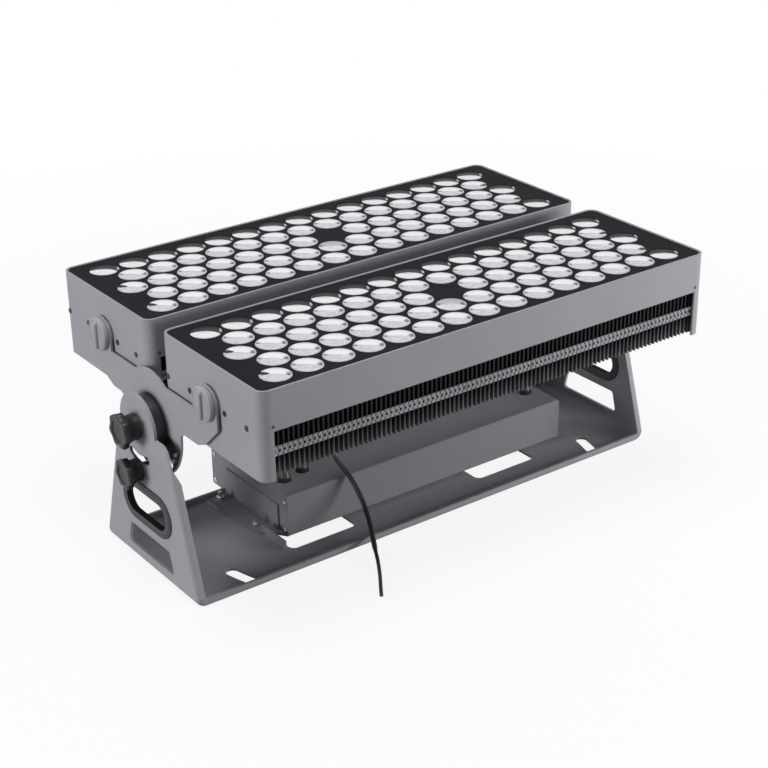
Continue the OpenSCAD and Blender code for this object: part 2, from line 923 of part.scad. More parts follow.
module lock_bolts() {
  color(steel)
    clamp_bolt(lock_bolt_d, lock_z, leg_out + knob_washer_t + lock_bolt_reach);
}

module clamp_washers() {
  color(steel)
    both_x() {
      difference() {
        shaft_x(leg_out, knob_washer_t, pivot_bolt_d / 2 + washer_lap, tilt_y, tilt_z);
        shaft_x(leg_out - over, knob_washer_t + 2 * over, pivot_bolt_d / 2 + fit, tilt_y, tilt_z);
      }
      difference() {
        shaft_x(leg_out, knob_washer_t, lock_bolt_d / 2 + washer_lap, tilt_y, lock_z);
        shaft_x(leg_out - over, knob_washer_t + 2 * over, lock_bolt_d / 2 + fit, tilt_y, lock_z);
      }
    }
}

// Knob: a hub and a lobed rim, with a blind bore for the bolt
module clamp_knob(side, rim_d, length, bolt_d, z) {
  lobe = 0.13 * rim_d;
  color(black)
    on_side(side)
      translate([leg_out + knob_washer_t, tilt_y, z])
        rotate([0, 90, 0])
          difference() {
            union() {
              cylinder(h = length - knob_rim_t, r = 0.36 * rim_d);
              translate([0, 0, length - knob_rim_t])
                linear_extrude(knob_rim_t)
                  union() {
                    circle(rim_d / 2 - lobe / 2);
                    for (k = [0:knob_lobes - 1])
                      rotate(k * 360 / knob_lobes) translate([rim_d / 2 - lobe, 0]) circle(lobe);
                  }
            }
            translate([0, 0, -over]) cylinder(h = length - knob_rim_t + over, r = bolt_d / 2 + fit);
          }
}

module tilt_knob(side) {
  clamp_knob(side, tilt_knob_d, tilt_knob_len, pivot_bolt_d, tilt_z);
}

module lock_knob(side) {
  clamp_knob(side, lock_knob_d, lock_knob_len, lock_bolt_d, lock_z);
}

// Arms

// Centre of the round blend between the lobe and the bar's lower edge, from the tilt axis
blend_drop = head_lift - bar_low_drop - lobe_fillet_r;
blend_out = sqrt(pow(lobe_r + lobe_fillet_r, 2) - pow(blend_drop, 2));

// Fills the inner corners between the lobe and the bar, before the blends are cut
module lobe_corners() {
  top = blend_drop + lobe_fillet_r + over;
  low = blend_drop - over;
  polygon([[-blend_out, top], [-blend_out, low], [0, -over], [blend_out, low], [blend_out, top]]);
}

module arm_outline() {
  ear = head_pitch / 2;
  low = head_z - bar_low_drop;
  high = head_z - bar_top_drop;
  side_low = head_z - ear_flat_drop;
  difference() {
    union() {
      polygon([
        [-ear - ear_r, high], [-ear - ear_r, side_low], [-bar_shoulder, low + bar_shoulder_rise],
        [-bar_flat, low], [bar_flat, low], [bar_shoulder, low + bar_shoulder_rise],
        [ear + ear_r, side_low], [ear + ear_r, high]
      ]);
      for (s = [-1, 1]) translate([s * ear, head_z]) {
        circle(ear_r);
        translate([-ear_r, -bar_top_drop - over]) square([2 * ear_r, bar_top_drop + over]);
      }
      translate([tilt_y, tilt_z]) {
        circle(lobe_r);
        lobe_corners();
      }
    }
    for (s = [-1, 1])
      translate([tilt_y + s * blend_out, tilt_z + blend_drop]) circle(lobe_fillet_r);
    for (s = [-1, 1]) translate([s * ear, head_z]) circle(stud_d / 2 + fit);
    translate([tilt_y, tilt_z]) clamp_cuts();
  }
}

// Pivot hole and the curved slot that the lock bolt runs in
module clamp_cuts() {
  circle(pivot_bolt_d / 2 + fit);
  curved_slot(lock_bolt_r, 2 * lock_slot_r, down - tilt_front, down + tilt_rear);
}

module arm(side) {
  color(paint)
    on_side(side)
      difference() {
        plate_x(arm_in, arm_t) arm_outline();
        for (a = dial_screw_angles)
          dial_screw_hole(arm_in, arm_t, a);
      }
}

// A shaft or bore at one of the dial's screws, at angle a round the tilt axis
module dial_screw_shaft(x, t, r, a) {
  shaft_x(x, t, r, tilt_y + dial_screw_r * cos(a), tilt_z + dial_screw_r * sin(a));
}

module dial_screw_hole(x, t, a) {
  dial_screw_shaft(x - over, t + 2 * over, dial_screw_d / 2 + fit, a);
}

// Sector under a dial's middle, with straight edges from the middle's sides to the rim
module dial_sector() {
  side = [over - dial_hub_r, 0];
  rim = dial_r * [cos(down - dial_span / 2), sin(down - dial_span / 2)];
  far = side + 2 * dial_r * unit(rim - side);
  intersection() {
    circle(dial_r);
    polygon([side, far, [far[0], -2 * dial_r], [-far[0], -2 * dial_r], [-far[0], far[1]], -side]);
  }
}

// Thin plate on the arm: a round middle and a sector that shows the tilt
module tilt_dial(side) {
  color(black)
    on_side(side)
      difference() {
        plate_x(arm_out, dial_t)
          translate([tilt_y, tilt_z])
            difference() {
              union() {
                circle(dial_hub_r);
                dial_sector();
              }
              clamp_cuts();
            }
        for (a = dial_screw_angles)
          dial_screw_hole(arm_out, dial_t, a);
      }
}

module dial_screws() {
  head_t = 2.2;
  color(steel)
    both_x()
      for (a = dial_screw_angles) {
        dial_screw_shaft(arm_in + play, arm_t + dial_t - play, dial_screw_d / 2, a);
        dial_screw_shaft(dial_out, head_t, dial_screw_head_r, a);
      }
}

module head_washers() {
  color(steel)
    both_x()
      for (side = [-1, 1])
        at_head(side)
          difference() {
            shaft_x(head_len / 2, head_washer_t, head_washer_d / 2);
            shaft_x(head_len / 2 - over, head_washer_t + 2 * over, stud_d / 2 + fit);
          }
}

// Round knob with a bar grip on an ear, with a blind bore for the stud
module pivot_knob(head_side, side) {
  color(paint)
    at_head(head_side)
      on_side(side)
        translate([arm_out + play, 0, 0])
          rotate([0, 90, 0])
            difference() {
              union() {
                cylinder(h = pivot_knob_t - 1.5, r = pivot_knob_d / 2);
                translate([0, 0, pivot_knob_t - 1.5])
                  cylinder(h = 1.5, r1 = pivot_knob_d / 2, r2 = pivot_knob_d / 2 - 1.5);
                linear_extrude(pivot_knob_t + pivot_grip_h) obround(pivot_grip_len, pivot_grip_w);
              }
              translate([0, 0, -over]) cylinder(h = stud_reach + over, r = stud_d / 2 + fit);
            }
}

// Heads, drawn about their pivot axis

// Plan outline of a piece that fills the shell's pocket
module pocket_fill() {
  rounded_rect(pocket_len - 2 * play, pocket_w - 2 * play, head_corner_r - shell_wall - play);
}

module head_shell(side) {
  color(paint)
    at_head(side)
      difference() {
        translate([0, 0, -head_drop])
          linear_extrude(head_rise + head_drop) rounded_rect(head_len, head_w, head_corner_r);
        // pocket below and above the ledge
        translate([0, 0, -head_drop - over])
          linear_extrude(head_drop + ledge_top - ledge_t + over)
            rounded_rect(pocket_len, pocket_w, head_corner_r - shell_wall);
        translate([0, 0, ledge_top])
          linear_extrude(head_rise) rounded_rect(pocket_len, pocket_w, head_corner_r - shell_wall);
        translate([0, 0, ledge_top - ledge_t - over])
          linear_extrude(ledge_t + 2 * over)
            rounded_rect(opening_len, opening_w, head_corner_r - shell_wall);
        // side windows, open at the bottom
        translate([-window_len / 2, -head_w / 2 - over, -head_drop - over])
          cube([window_len, head_w + 2 * over, head_drop + window_top + over]);
        shaft_x(-head_len / 2 - over, head_len + 2 * over, stud_d / 2 + fit);
        for (place = end_screw_places)
          shaft_x(-head_len / 2 - over, head_len + 2 * over, end_screw_d / 2 + fit, place, end_screw_z);
      }
}

module mask_plate(side) {
  color(black)
    at_head(side)
      translate([0, 0, mask_low])
        linear_extrude(mask_t)
          difference() {
            pocket_fill();
            for (place = lens_places) translate(place) circle(lens_d / 2 + play);
          }
}

module mask_gasket(side) {
  color(black)
    at_head(side)
      translate([0, 0, ledge_top])
        linear_extrude(gasket_t)
          difference() {
            pocket_fill();
            rounded_rect(opening_len, opening_w, head_corner_r - shell_wall);
          }
}

// Clear collimator lens: flat face, lip, bowl-shaped sides and a recess over the light source
module lens() {
  lip_top = lens_h - 0.2;
  bowl_r = lens_d / 2 - 1.5;
  foot_r = lens_foot_d / 2;
  recess_r = led_w * 0.75;
  recess_h = led_h + 3;
  bowl_steps = 4;
  rotate_extrude()
    polygon(concat(
      [[recess_r, 0], [foot_r, 0]],
      [for (k = [1:bowl_steps])
        [foot_r + (bowl_r - foot_r) * sin(90 * k / bowl_steps), (lip_top - lip_t) * k / bowl_steps]],
      [
        [lens_d / 2 + lens_lip, lip_top - lip_t], [lens_d / 2 + lens_lip, lip_top],
        [lens_d / 2, lip_top], [lens_d / 2, lens_h + mask_t], [0, lens_h + mask_t],
        [0, recess_h], [recess_r, recess_h]
      ]
    ));
}

module lenses(side) {
  color(clear_lens)
    at_head(side)
      for (place = lens_places) translate([place[0], place[1], board_top]) lens();
}

module led_board(side) {
  color("whitesmoke")
    at_head(side)
      translate([-board_len / 2, -board_w / 2, spreader_top]) cube([board_len, board_w, board_t]);
}

module leds(side) {
  color("gold")
    at_head(side)
      for (place = lens_places)
        translate([place[0] - led_w / 2, place[1] - led_w / 2, board_top]) cube([led_w, led_w, led_h]);
}

// Fin outline: a comb of fins between two end blocks under the spreader
module fin_comb() {
  block_out = pocket_len / 2 - play;
  block_in = window_len / 2;
  first = -(fin_count - 1) / 2 * fin_pitch;
  polygon(concat(
    [[-block_out, spreader_top], [-block_out, fin_end], [-block_in, fin_end], [-block_in, spreader_low]],
    [for (i = [0:fin_count - 1])
      let (x = first + i * fin_pitch)
        each [
          [x - fin_t / 2, spreader_low], [x - fin_t / 2, fin_end],
          [x + fin_t / 2, fin_end], [x + fin_t / 2, spreader_low]
        ]],
    [[block_in, spreader_low], [block_in, fin_end], [block_out, fin_end], [block_out, spreader_top]]
  ));
}

module heatsink(side) {
  color(fin_metal)
    at_head(side)
      difference() {
        union() {
          intersection() {
            bar_y(-fin_half, 2 * fin_half) fin_comb();
            translate([0, 0, fin_end]) linear_extrude(spreader_top - fin_end) pocket_fill();
          }
          translate([0, 0, spreader_low]) linear_extrude(spreader_t) pocket_fill();
        }
        for (s = [-1, 1]) {
          shaft_x(
            s > 0 ? head_len / 2 - shell_wall - stud_hold : -head_len / 2,
            stud_hold + shell_wall, stud_d / 2 + fit
          );
          for (place = end_screw_places)
            shaft_x(
              s > 0 ? head_len / 2 - end_screw_len : -head_len / 2, end_screw_len,
              end_screw_d / 2 + fit, place, end_screw_z
            );
        }
      }
}

// Strip that locks the fin edges together: a ladder with one slot at each fin, cut into sections
module strip_outline() {
  sections = ceil(window_len / strip_len);
  run = fin_count * fin_pitch;
  difference() {
    square([run, strip_h], center = true);
    for (i = [0:fin_count - 1])
      translate([(i - (fin_count - 1) / 2) * fin_pitch, 0])
        square([strip_slot_w, strip_slot_h], center = true);
    for (k = [1:sections - 1])
      translate([(k - sections / 2) * strip_len, 0]) square([strip_cut, 2 * strip_h], center = true);
  }
}

module fin_strips(side) {
  color("darkgray")
    at_head(side)
      both_y()
        translate([0, 0, -strip_drop]) bar_y(fin_half, strip_t) strip_outline();
}

module pivot_studs(side) {
  color(steel)
    at_head(side)
      both_x()
        shaft_x(
          head_len / 2 - shell_wall - stud_hold + play,
          shell_wall + stud_hold + arm_out - head_len / 2 + stud_reach - 2 * play,
          stud_d / 2
        );
}

// Screws with flat heads that hold the heatsink's end blocks
module end_screws(side) {
  color(steel)
    at_head(side)
      both_x()
        for (place = end_screw_places) {
          shaft_x(
            head_len / 2 - end_screw_len + play, end_screw_len - play,
            end_screw_d / 2, place, end_screw_z
          );
          shaft_x(head_len / 2, end_screw_head_t, end_screw_head_d / 2, place, end_screw_z);
        }
}

yoke();
handle_trim(-1);  // handle_trim_left
handle_trim(1);  // handle_trim_right
driver_case();
driver_end_cover();
driver_end_plate();
driver_bracket_left();
driver_bracket_right();
bracket_studs();
driver_modules();
control_board();
terminal_block();
cable_glands();
supply_gland();
supply_cable();
friction_disc(-1);  // friction_disc_left
friction_disc(1);  // friction_disc_right
pivot_bolts();
lock_bolts();
lock_sleeves();
clamp_washers();
tilt_knob(-1);  // tilt_knob_left
tilt_knob(1);  // tilt_knob_right
lock_knob(-1);  // lock_knob_left
lock_knob(1);  // lock_knob_right
arm(-1);  // arm_left
arm(1);  // arm_right
tilt_dial(-1);  // tilt_dial_left
tilt_dial(1);  // tilt_dial_right
dial_screws();
head_washers();
head_shell(-1);  // head_shell_front
mask_plate(-1);  // mask_plate_front
mask_gasket(-1);  // mask_gasket_front
lenses(-1);  // lenses_front
led_board(-1);  // led_board_front
leds(-1);  // leds_front
heatsink(-1);  // heatsink_front
fin_strips(-1);  // fin_strips_front
pivot_studs(-1);  // pivot_studs_front
end_screws(-1);  // end_screws_front
head_shell(1);  // head_shell_rear
mask_plate(1);  // mask_plate_rear
mask_gasket(1);  // mask_gasket_rear
lenses(1);  // lenses_rear
led_board(1);  // led_board_rear
leds(1);  // leds_rear
heatsink(1);  // heatsink_rear
fin_strips(1);  // fin_strips_rear
pivot_studs(1);  // pivot_studs_rear
end_screws(1);  // end_screws_rear
pivot_knob(-1, -1);  // pivot_knob_front_left
pivot_knob(-1, 1);  // pivot_knob_front_right
pivot_knob(1, -1);  // pivot_knob_rear_left
pivot_knob(1, 1);  // pivot_knob_rear_right
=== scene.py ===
"""Looks of the twin-head floodlight: camera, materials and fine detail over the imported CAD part.

Lengths are metres in the part's own frame. +X runs along the heads, +Y away from the front head, +Z up.
"""

import math

import bpy
from mathutils import Matrix, Vector


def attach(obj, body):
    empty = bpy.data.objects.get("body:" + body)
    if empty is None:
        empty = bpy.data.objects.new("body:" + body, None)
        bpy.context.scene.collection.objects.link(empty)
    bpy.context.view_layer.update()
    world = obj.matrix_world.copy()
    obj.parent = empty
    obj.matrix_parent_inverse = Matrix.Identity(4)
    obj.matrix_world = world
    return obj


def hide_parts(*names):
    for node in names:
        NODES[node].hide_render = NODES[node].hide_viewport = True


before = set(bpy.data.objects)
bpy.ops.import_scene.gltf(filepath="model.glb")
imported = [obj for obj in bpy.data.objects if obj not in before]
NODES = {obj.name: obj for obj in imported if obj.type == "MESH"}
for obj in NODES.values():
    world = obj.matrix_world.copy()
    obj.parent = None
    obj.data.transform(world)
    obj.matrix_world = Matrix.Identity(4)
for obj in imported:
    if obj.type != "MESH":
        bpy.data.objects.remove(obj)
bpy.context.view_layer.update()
MM = 0.001

# Camera, found from the lines of the photograph
CAMERA_PLACE = Vector((-1.2582, -1.7192, 1.1699))
CAMERA_TURN = math.radians(-36.08)
CAMERA_TILT = math.radians(25.46)
CAMERA_ROLL = math.radians(-0.78)
CAMERA_LENS = 81.42
SENSOR_WIDTH = 36
VIEW_END = 50


def make_camera():
    """Stands the camera where the photograph was taken from, its three axes worked out from its turns."""
    right = Vector((math.cos(CAMERA_TURN), math.sin(CAMERA_TURN), 0))
    back = Vector((
        math.sin(CAMERA_TURN) * math.cos(CAMERA_TILT),
        -math.cos(CAMERA_TURN) * math.cos(CAMERA_TILT),
        math.sin(CAMERA_TILT),
    ))
    up = back.cross(right)
    x_axis = math.cos(CAMERA_ROLL) * right + math.sin(CAMERA_ROLL) * up
    y_axis = -math.sin(CAMERA_ROLL) * right + math.cos(CAMERA_ROLL) * up
    data = bpy.data.cameras.new("camera")
    data.sensor_width = SENSOR_WIDTH
    data.lens = CAMERA_LENS
    data.clip_end = VIEW_END
    camera = bpy.data.objects.new("camera", data)
    turn = Matrix((x_axis, y_axis, back)).transposed().to_4x4()
    camera.matrix_world = Matrix.Translation(CAMERA_PLACE) @ turn
    bpy.context.scene.collection.objects.link(camera)
    bpy.context.scene.camera = camera


make_camera()


# Node tree helpers

NOISE_MIDDLE = (0.3, 0.7)  # where nearly all of a noise's values lie
PATCH_SCALE = 9
GLOSS_SCALE = 40
GLOSS_SWING = 0.03
GRAIN_STRENGTH = 0.3


def new_material(name):
    """An empty material with a plain shader, which is returned with it and its tree."""
    material = bpy.data.materials.new(name)
    material.use_nodes = True
    tree = material.node_tree
    tree.nodes.clear()
    output = tree.nodes.new("ShaderNodeOutputMaterial")
    shader = tree.nodes.new("ShaderNodeBsdfPrincipled")
    tree.links.new(shader.outputs["BSDF"], output.inputs["Surface"])
    return material, tree, shader


def noise(tree, scale, detail=2, stretch=(1, 1, 1)):
    """Noise over the piece's own coordinates, so it stays put when the piece turns."""
    place = tree.nodes.new("ShaderNodeTexCoord")
    mapping = tree.nodes.new("ShaderNodeMapping")
    mapping.inputs["Scale"].default_value = stretch
    texture = tree.nodes.new("ShaderNodeTexNoise")
    texture.inputs["Scale"].default_value = scale
    texture.inputs["Detail"].default_value = detail
    tree.links.new(place.outputs["Object"], mapping.inputs["Vector"])
    tree.links.new(mapping.outputs["Vector"], texture.inputs["Vector"])
    return texture.outputs["Fac"]


def spread(tree, value, low, high, to_low, to_high):
    """The value's share of the way from low to high, carried over to the second range and held in it."""
    node = tree.nodes.new("ShaderNodeMapRange")
    node.inputs["From Min"].default_value = low
    node.inputs["From Max"].default_value = high
    node.inputs["To Min"].default_value = to_low
    node.inputs["To Max"].default_value = to_high
    tree.links.new(value, node.inputs["Value"])
    return node.outputs["Result"]


def blend_colours(tree, factor, first, second):
    """The first colour at factor 0 and the second at 1; each is a tuple or a socket."""
    node = tree.nodes.new("ShaderNodeMix")
    node.data_type = "RGBA"
    tree.links.new(factor, node.inputs["Factor"])
    # inputs 6 and 7 and output 2 are the colour ones among sockets of the same names
    for socket, colour in ((node.inputs[6], first), (node.inputs[7], second)):
        if isinstance(colour, tuple):
            socket.default_value = (*colour, 1)
        else:
            tree.links.new(colour, socket)
    return node.outputs[2]


def bump(tree, shader, height, depth, strength):
    """Raises the surface by the height, at most by depth in metres."""
    node = tree.nodes.new("ShaderNodeBump")
    node.inputs["Distance"].default_value = depth
    node.inputs["Strength"].default_value = strength
    tree.links.new(height, node.inputs["Height"])
    tree.links.new(node.outputs["Normal"], shader.inputs["Normal"])


def surface(name, colour, roughness, metal=0.0, patch=0.06, grain=900, depth=0.0002, stretch=(1, 1, 1),
            specular=0.5):
    """Base finish: soft patches of tone, uneven gloss and a fine grain in the surface."""
    material, tree, shader = new_material(name)
    shader.inputs["Metallic"].default_value = metal
    shader.inputs["Specular IOR Level"].default_value = specular
    patches = spread(tree, noise(tree, PATCH_SCALE, 4), *NOISE_MIDDLE, 0, 1)
    light = tuple(min(c * (1 + patch), 1) for c in colour)
    dark = tuple(c * (1 - patch) for c in colour)
    tree.links.new(blend_colours(tree, patches, dark, light), shader.inputs["Base Color"])
    uneven = (roughness - GLOSS_SWING, roughness + GLOSS_SWING)
    gloss = spread(tree, noise(tree, GLOSS_SCALE, 3), *NOISE_MIDDLE, *uneven)
    tree.links.new(gloss, shader.inputs["Roughness"])
    bump(tree, shader, noise(tree, grain, 2, stretch), depth, GRAIN_STRENGTH)
    return material


def attribute_parts(tree, name):
    """X, Y and Z outputs of a vector that the mesh carries at each point."""
    place = tree.nodes.new("ShaderNodeAttribute")
    place.attribute_name = name
    split = tree.nodes.new("ShaderNodeSeparateXYZ")
    tree.links.new(place.outputs["Vector"], split.inputs["Vector"])
    return split.outputs


def maths(tree, operation, *values):
    """One step of arithmetic on numbers or sockets."""
    node = tree.nodes.new("ShaderNodeMath")
    node.operation = operation
    for socket, value in zip(node.inputs, values):
        if isinstance(value, (int, float)):
            socket.default_value = value
        else:
            tree.links.new(value, socket)
    return node.outputs[0]


def times(tree, first, second):
    """The two values multiplied."""
    return maths(tree, "MULTIPLY", first, second)


def oval(tree, place, centre, half):
    """Below 1 inside an upright oval, above 1 outside it."""
    across = maths(tree, "DIVIDE", maths(tree, "SUBTRACT", place["X"], centre[0]), half[0])
    along = maths(tree, "DIVIDE", maths(tree, "SUBTRACT", place["Y"], centre[1]), half[1])
    return maths(tree, "ADD", times(tree, across, across), times(tree, along, along))


# Tones of a lens: streaks and flecks of the plastic, and painted light, shade and reflections for what
# the clear lens shows: the pale tone, a highlight, shade at the rim, a dark line and dark marks, and the
# dark of its far part
LENS_PALE = (0.76, 0.76, 0.79)
LENS_STREAK = (0.58, 0.58, 0.62)
LENS_FLECK = (0.42, 0.42, 0.46)
LENS_RIM_SHADE = (0.34, 0.34, 0.37)
LENS_HIGHLIGHT = (0.93, 0.93, 0.95)
LENS_LINE = (0.36, 0.36, 0.39)
LENS_DARK_REFLECTION = (0.10, 0.10, 0.11)
# colour of the painted shade on a lens's far part and edges
LENS_DARK = (0.014, 0.014, 0.018)
STREAK_SCALE = 260
FLECK_SCALE = 700
LENS_GRAIN = 380

# Ovals on a lens for its painted highlight, reflections and shade: the centre and the half size, in
# shares of the lens's radius
WHOLE_OVAL = ((0, 0), (1, 1))
HIGHLIGHT_OVAL = ((-0.05, 0.42), (0.85, 0.46))
LINE_OVAL = ((-0.22, 0.08), (0.62, 0.10))
DARK_REFLECTION_OVALS = (((0.74, 0.16), (0.17, 0.26)), ((-0.80, 0.06), (0.16, 0.14)))
# the lit part of a lens, outside which its far part takes painted shade, and the painted shade at its
# right and left edges
LIT_OVAL = ((-0.04, -0.42), (0.92, 0.62))
EDGE_SHADE_HALF = (0.42, 0.20)
RIGHT_EDGE_SHADE = (0.85, 0.05)
LEFT_EDGE_SHADE = (-0.78, 0.22)


def lens_tone(tree, place):
    """Colour of a lens with neighbours all round: streaks and flecks, painted shade at the rim, a painted
    highlight, and painted dark reflections as a line and marks.
    """
    streaks = spread(tree, noise(tree, STREAK_SCALE, 3, (0.45, 1.6, 1)), 0.40, 0.68, 0, 1)
    flecks = spread(tree, noise(tree, FLECK_SCALE, 1), 0.58, 0.72, 0, 1)
    # the pale base tone is painted light for the lit board seen through the clear plastic; streaks and
    # flecks vary it
    tone = blend_colours(tree, streaks, LENS_PALE, LENS_STREAK)
    tone = blend_colours(tree, flecks, tone, LENS_FLECK)
    # painted shade towards the rim
    rim_shade = spread(tree, oval(tree, place, *WHOLE_OVAL), 0.62, 1.0, 0, 0.55)
    tone = blend_colours(tree, rim_shade, tone, LENS_RIM_SHADE)
    # painted highlight in an oval, and over the whole of a lens as far as its far part takes painted
    # shade
    highlight = spread(tree, oval(tree, place, *HIGHLIGHT_OVAL), 0.3, 1.3, 1, 0)
    highlight = maths(tree, "MAXIMUM", highlight, times(tree, place["Z"], 0.8))
    tone = blend_colours(tree, highlight, tone, LENS_HIGHLIGHT)
    # painted dark reflection: a line across the lens
    line = spread(tree, oval(tree, place, *LINE_OVAL), 0.3, 1.2, 0.5, 0)
    tone = blend_colours(tree, line, tone, LENS_LINE)
    # painted dark reflections: marks near the right and left edges
    for shape in DARK_REFLECTION_OVALS:
        dark_reflection = spread(tree, oval(tree, place, *shape), 0.2, 1.2, 0.75, 0)
        tone = blend_colours(tree, dark_reflection, tone, LENS_DARK_REFLECTION)
    return tone


def lens_shade(tree, place, notch):
    """Painted shade of a lens where it has no neighbour to throw light back: its far part, with a painted
    glint in it, and dark patches at its right and left edges.
    """
    # painted shade over the far part
    far_part = spread(tree, oval(tree, place, *LIT_OVAL), 0.9, 1.1, 0, 1)
    far_part = times(tree, far_part, spread(tree, place["Y"], -0.75, -0.45, 0, 1))
    # painted highlight: a glint at the right of the far part
    glint = spread(tree, place["X"], 0.74, 0.84, 0, 1)
    glint = times(tree, glint, spread(tree, place["Y"], 0, 0.1, 0, 1))
    glint = times(tree, glint, spread(tree, place["Y"], 0.44, 0.60, 0.8, 0))
    far_part = times(tree, far_part, maths(tree, "SUBTRACT", 1, glint))
    shade = times(tree, far_part, place["Z"])
    # painted shade at the right and left edges
    for share, centre in ((notch["X"], RIGHT_EDGE_SHADE), (notch["Y"], LEFT_EDGE_SHADE)):
        inside = spread(tree, oval(tree, place, centre, EDGE_SHADE_HALF), 0.7, 1.2, 1, 0)
        shade = maths(tree, "MAXIMUM", shade, times(tree, inside, share))
    return shade


def lens_material():
    """Clear moulded lens, its pale colour painted light for the white board under it, its far part
    painted shade at the field's edge.

    The attribute lens_place holds a point's place in its own lens, -1 to 1 across and along, and in Z how
    dark the painted shade of its far part is. The second attribute holds the share of the painted shade
    at its right and left edges.
    dark the far part is. The attribute lens_edge_shade holds the share of the notch at its right and
    left.
    """
    material, tree, shader = new_material("clear_lens")
    place = attribute_parts(tree, "lens_place")
    notch = attribute_parts(tree, "lens_edge_shade")
    tone = lens_tone(tree, place)
    # painted shade over the far part and the edges
    tone = blend_colours(tree, lens_shade(tree, place, notch), tone, LENS_DARK)
    tree.links.new(tone, shader.inputs["Base Color"])
    shader.inputs["Roughness"].default_value = 0.15
    shader.inputs["Specular IOR Level"].default_value = 0.10
    bump(tree, shader, noise(tree, LENS_GRAIN, 2), 0.0004, 0.25)
    return material


# Painted light on the lower ends of the fins, paler than their shaded upper parts; heights in millimetres
FIN_LOW = 222
FIN_LIT_TOP = 246
FIN_BLACK = (0.014, 0.014, 0.016)
FIN_PAINTED_LIGHT = (0.20, 0.20, 0.215)
LIT_NOISE_SCALE = 120


def fin_material():
    """Black fins with painted light on their lower ends, paler there unevenly from fin to fin."""
    material = surface("black_fins", FIN_BLACK, 0.60, stretch=(1, 1, 8), specular=0.15)
    tree = material.node_tree
    shader = next(n for n in tree.nodes if n.type == "BSDF_PRINCIPLED")
    dark = shader.inputs["Base Color"].links[0].from_socket
    place = tree.nodes.new("ShaderNodeTexCoord")
    split = tree.nodes.new("ShaderNodeSeparateXYZ")
    tree.links.new(place.outputs["Object"], split.inputs["Vector"])
    # painted light: paler towards the lower ends of the fins, unevenly from fin to fin
    low = spread(tree, split.outputs["Z"], FIN_LOW * MM, FIN_LIT_TOP * MM, 1, 0)
    uneven = spread(tree, noise(tree, LIT_NOISE_SCALE, 1, (1, 0.05, 0.05)), *NOISE_MIDDLE, 0.35, 1)
    lit_tone = blend_colours(tree, times(tree, low, uneven), dark, FIN_PAINTED_LIGHT)
    tree.links.new(lit_tone, shader.inputs["Base Color"])
    return material


# Finishes by slot: colour, roughness and what else differs from a plain surface
FINISHES = {
    "grey_paint": dict(colour=(0.335, 0.335, 0.365), roughness=0.60, patch=0.035, specular=0.22),
    "dark_paint": dict(colour=(0.26, 0.26, 0.285), roughness=0.74, patch=0.025, specular=0.05),
    "mask_black": dict(colour=(0.011, 0.011, 0.014), roughness=0.62, patch=0.15, specular=0.04),
    "board_white": dict(colour=(0.80, 0.80, 0.80), roughness=0.45),
    "led_yellow": dict(colour=(0.75, 0.55, 0.12), roughness=0.40),
    "strip_metal": dict(
        colour=(0.30, 0.30, 0.32), roughness=0.60, metal=0.1, patch=0.12, specular=0.3,
    ),
    "bright_steel": dict(colour=(0.62, 0.62, 0.64), roughness=0.28, metal=1.0, stretch=(1, 1, 12)),
    "dark_steel": dict(colour=(0.020, 0.020, 0.023), roughness=0.45, patch=0.2, specular=0.25),
    "knob_black": dict(
        colour=(0.014, 0.014, 0.016), roughness=0.36, patch=0.2, depth=0.0003, specular=0.3,
    ),
    "black_plastic": dict(colour=(0.018, 0.018, 0.020), roughness=0.38, patch=0.2),
    "black_rubber": dict(
        colour=(0.058, 0.058, 0.064), roughness=0.66, patch=0.2, grain=500, specular=0.3,
    ),
    "dark_rubber": dict(
        colour=(0.010, 0.010, 0.012), roughness=0.80, patch=0.2, grain=500, specular=0.05,
    ),
    "cable_jacket": dict(colour=(0.022, 0.022, 0.025), roughness=0.40, patch=0.2, grain=600),
    "driver_metal": dict(colour=(0.55, 0.56, 0.58), roughness=0.38, metal=0.9, stretch=(8, 1, 1)),
    "board_laminate": dict(colour=(0.03, 0.16, 0.08), roughness=0.40, patch=0.2),
}
MATERIALS = {name: surface(name, **finish) for name, finish in FINISHES.items()}
MATERIALS["clear_lens"] = lens_material()
MATERIALS["black_fins"] = fin_material()


def dress_nodes():
    """Gives every CAD node the finish of its slot, which its imported material is named after."""
    for name, node in NODES.items():
        for slot in node.material_slots:
            found = slot.material.name.split(".")[0] if slot.material else None
            if found not in MATERIALS:
                raise ValueError(f"{name} has no known finish: {found}")
            slot.material = MATERIALS[found]


dress_nodes()

# Supply cable over the route points of the CAD tube, in millimetres, and its strain relief
CABLE_D = 7 * MM
JACKET_END = 0.74  # share of the cable's length that the jacket covers
JACKET_SLOPE = 0.06  # share of the length over which a whole thickness would be lost
BARE_SHARE = 0.72  # thickness without the jacket, as a share of the whole
STEPS_BETWEEN = 6
TUBE_RESOLUTION = 6
SLEEVE_STEPS = 12
SLEEVE_R = 6.2
SLEEVE_TAPER = 2.2
SLEEVE_GROOVE = 0.35
CABLE_ROUTE = [
    (-108, 33, 78), (-108, 33, 90), (-108, 29, 104), (-108, 19, 114), (-108, 5, 118), (-108, -9, 114),
    (-107, -19, 104), (-106, -28, 88), (-101, -39, 74), (-98, -52, 62), (-97, -65, 49), (-98, -78, 37),
    (-104, -96, 26), (-114, -117, 18.5), (-124, -137, 10), (-134, -157, 4.5), (-146, -177, 3.5),
    (-159, -197, 3.5), (-170, -213, 3.5), (-180, -228, 3.5),
]


